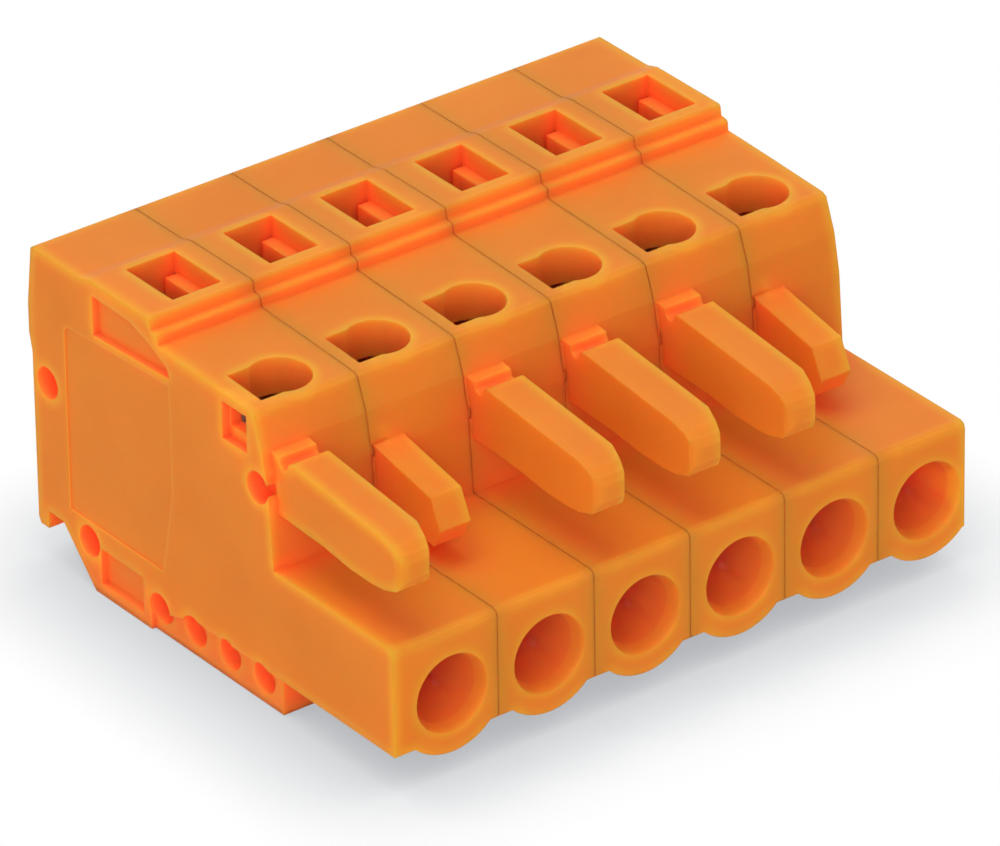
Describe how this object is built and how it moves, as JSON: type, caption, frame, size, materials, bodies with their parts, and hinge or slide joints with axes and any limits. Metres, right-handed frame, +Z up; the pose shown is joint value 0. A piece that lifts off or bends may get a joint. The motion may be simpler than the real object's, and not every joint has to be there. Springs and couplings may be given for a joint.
{
  "type": "pluggable terminal block",
  "caption": "Angled pluggable terminal block: a row of moulded pole modules with round pin sockets, wire entries and tool openings over sprung cage clamps.",
  "frame": {"origin": "centre of the overall box in plan, on the plane of the base block's underside", "axes": "+X along the row of poles towards the narrow last module, -Y out of the mating face, +Z up, the way the wires leave"},
  "size_m": [0.0304, 0.0258, 0.0154],
  "materials": {
    "orange_polyamide": "semi-gloss moulded",
    "tinned_copper": "satin tin",
    "spring_steel": "bright rolled"
  },
  "bodies": {
    "block": {"housing_1": "orange_polyamide", "housing_2": "orange_polyamide", "housing_3": "orange_polyamide", "housing_4": "orange_polyamide", "housing_5": "orange_polyamide", "housing_6": "orange_polyamide", "busbar_1": "tinned_copper", "busbar_2": "tinned_copper", "busbar_3": "tinned_copper", "busbar_4": "tinned_copper", "busbar_5": "tinned_copper", "busbar_6": "tinned_copper", "over_spring_1": "spring_steel", "over_spring_2": "spring_steel", "over_spring_3": "spring_steel", "over_spring_4": "spring_steel", "over_spring_5": "spring_steel", "over_spring_6": "spring_steel"},
    "clamp_1": {"cage_clamp_1": "spring_steel"},
    "clamp_2": {"cage_clamp_2": "spring_steel"},
    "clamp_3": {"cage_clamp_3": "spring_steel"},
    "clamp_4": {"cage_clamp_4": "spring_steel"},
    "clamp_5": {"cage_clamp_5": "spring_steel"},
    "clamp_6": {"cage_clamp_6": "spring_steel"}
  },
  "joints": [
    {"name": "clamp_rock_1", "type": "hinge", "parent": "block", "child": "clamp_1", "pos_m": [-0.01247, 0.00093, 0.0053], "axis": [1, 0, 0], "range_deg": [0, 18], "stiffness_Nm_per_rad": 0.3},
    {"name": "clamp_rock_2", "type": "hinge", "parent": "block", "child": "clamp_2", "pos_m": [-0.00739, 0.00093, 0.0053], "axis": [1, 0, 0], "range_deg": [0, 18], "stiffness_Nm_per_rad": 0.3},
    {"name": "clamp_rock_3", "type": "hinge", "parent": "block", "child": "clamp_3", "pos_m": [-0.00231, 0.00093, 0.0053], "axis": [1, 0, 0], "range_deg": [0, 18], "stiffness_Nm_per_rad": 0.3},
    {"name": "clamp_rock_4", "type": "hinge", "parent": "block", "child": "clamp_4", "pos_m": [0.00277, 0.00093, 0.0053], "axis": [1, 0, 0], "range_deg": [0, 18], "stiffness_Nm_per_rad": 0.3},
    {"name": "clamp_rock_5", "type": "hinge", "parent": "block", "child": "clamp_5", "pos_m": [0.00785, 0.00093, 0.0053], "axis": [1, 0, 0], "range_deg": [0, 18], "stiffness_Nm_per_rad": 0.3},
    {"name": "clamp_rock_6", "type": "hinge", "parent": "block", "child": "clamp_6", "pos_m": [0.01293, 0.00093, 0.0053], "axis": [1, 0, 0], "range_deg": [0, 18], "stiffness_Nm_per_rad": 0.3}
  ]
}
